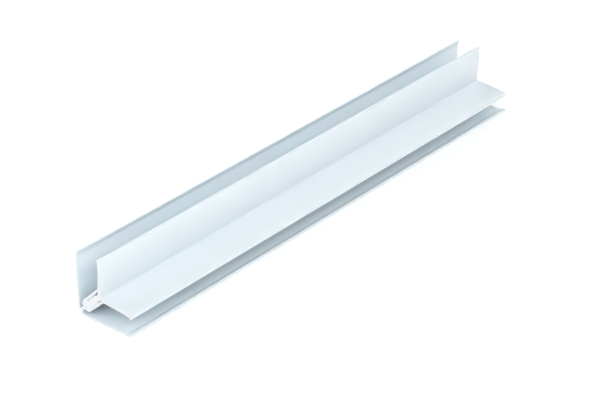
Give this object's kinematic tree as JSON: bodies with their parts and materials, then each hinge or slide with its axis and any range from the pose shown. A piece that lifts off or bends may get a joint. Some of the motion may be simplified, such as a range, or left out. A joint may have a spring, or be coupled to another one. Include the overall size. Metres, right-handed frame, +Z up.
{
  "type": "corner guard moulding",
  "caption": "Clip-together plastic corner moulding for wall panels: a back angle with a toothed channel holds the barbed tongue of a cover angle, with a panel slot on each side.",
  "frame": {"origin": "centre of the footprint, on the floor that the level back leg lies on", "axes": "+X along the length, +Y to the wall behind the upright legs, +Z up the upright legs"},
  "size_m": [0.3, 0.035, 0.0349],
  "materials": {
    "white_plastic": "satin white rigid PVC as extruded, with faint die lines along its length"
  },
  "bodies": {
    "root": {"back_angle": "white_plastic", "cover_angle": "white_plastic"}
  },
  "joints": []
}
